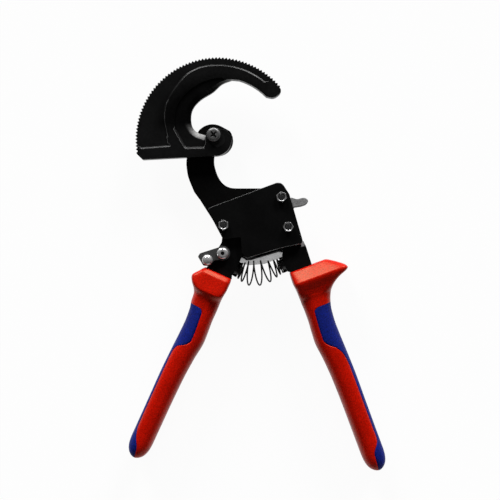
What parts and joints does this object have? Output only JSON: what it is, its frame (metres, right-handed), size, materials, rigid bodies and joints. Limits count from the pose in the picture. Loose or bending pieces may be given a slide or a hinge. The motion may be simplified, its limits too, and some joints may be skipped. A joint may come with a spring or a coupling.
{
  "type": "ratchet cable cutter",
  "caption": "Hand cable cutter: a sickle blade with a toothed rim is ratcheted round a fixed hook blade by a sprung handle; two-tone guarded grips, release lever and latch.",
  "frame": {"origin": "on the blade pivot's axis, at the flush rear face of the pivot pin and its nut, which the tool lies on", "axes": "+Y along the tool toward its head, +Z out of the front face, +X to the right"},
  "size_m": [0.1548, 0.2487, 0.0236],
  "materials": {
    "blade": "blackened, ground at the edge",
    "dark_steel": "blackened",
    "bright_steel": "bright zinc",
    "plate": "black, satin",
    "red_grip": "satin",
    "blue_grip": "soft, matt",
    "grey_steel": "bare",
    "lever": "bead blasted",
    "latch": "phosphated",
    "spring": "oiled spring wire"
  },
  "bodies": {
    "frame": {"fixed_blade": "blade", "front_plate": "plate", "rear_plate": "plate", "plate_bolts": "dark_steel", "plate_nuts": "bright_steel", "fixed_tang": "plate", "fixed_spring_peg": "dark_steel", "fixed_grip": "red_grip", "fixed_grip_inlay": "blue_grip", "guide_plate": "grey_steel", "handle_pivot_pin": "dark_steel", "holding_pawl_pin": "dark_steel", "holding_pawl_spring": "bright_steel", "return_spring": "spring"},
    "blade": {"moving_blade": "blade", "pivot_pin": "dark_steel", "pivot_washer": "dark_steel", "pivot_nut": "dark_steel", "lock_washer": "dark_steel", "lock_screw": "bright_steel"},
    "moving_handle": {"moving_tang": "plate", "moving_spring_peg": "dark_steel", "moving_grip": "red_grip", "moving_grip_inlay": "blue_grip", "drive_pawl_pin": "dark_steel", "drive_pawl_spring": "bright_steel", "latch_screw": "bright_steel"},
    "drive_pawl": {"drive_pawl": "lever"},
    "holding_pawl": {"holding_pawl": "lever"},
    "latch": {"latch_plate": "latch", "latch_stud": "bright_steel"}
  },
  "joints": [
    {"name": "blade_swing", "type": "hinge", "parent": "frame", "child": "blade", "pos_m": [0, 0, 0.012], "axis": [0, 0, 1], "range_deg": [-255, 0]},
    {"name": "handle_squeeze", "type": "hinge", "parent": "frame", "child": "moving_handle", "pos_m": [0.021, -0.062, 0.012], "axis": [0, 0, 1], "range_deg": [0, 34], "stiffness_Nm_per_rad": 0.8, "deforming": ["return_spring"]},
    {"name": "drive_pawl_turn", "type": "hinge", "parent": "moving_handle", "child": "drive_pawl", "pos_m": [0.02072, -0.0525, 0.013], "axis": [0, 0, 1], "range_deg": [-40, 0]},
    {"name": "release_lever", "type": "hinge", "parent": "frame", "child": "holding_pawl", "pos_m": [0.0415, -0.0435, 0.013], "axis": [0, 0, 1], "range_deg": [0, 10], "stiffness_Nm_per_rad": 0.05},
    {"name": "latch_swing", "type": "hinge", "parent": "moving_handle", "child": "latch", "pos_m": [0.0031, -0.0685, 0.0173], "axis": [0, 0, 1], "range_deg": [-75, 0]}
  ],
  "couplings": [
    {"joint": "drive_pawl_turn", "follows": "handle_squeeze", "ratio": -1.17}
  ]
}
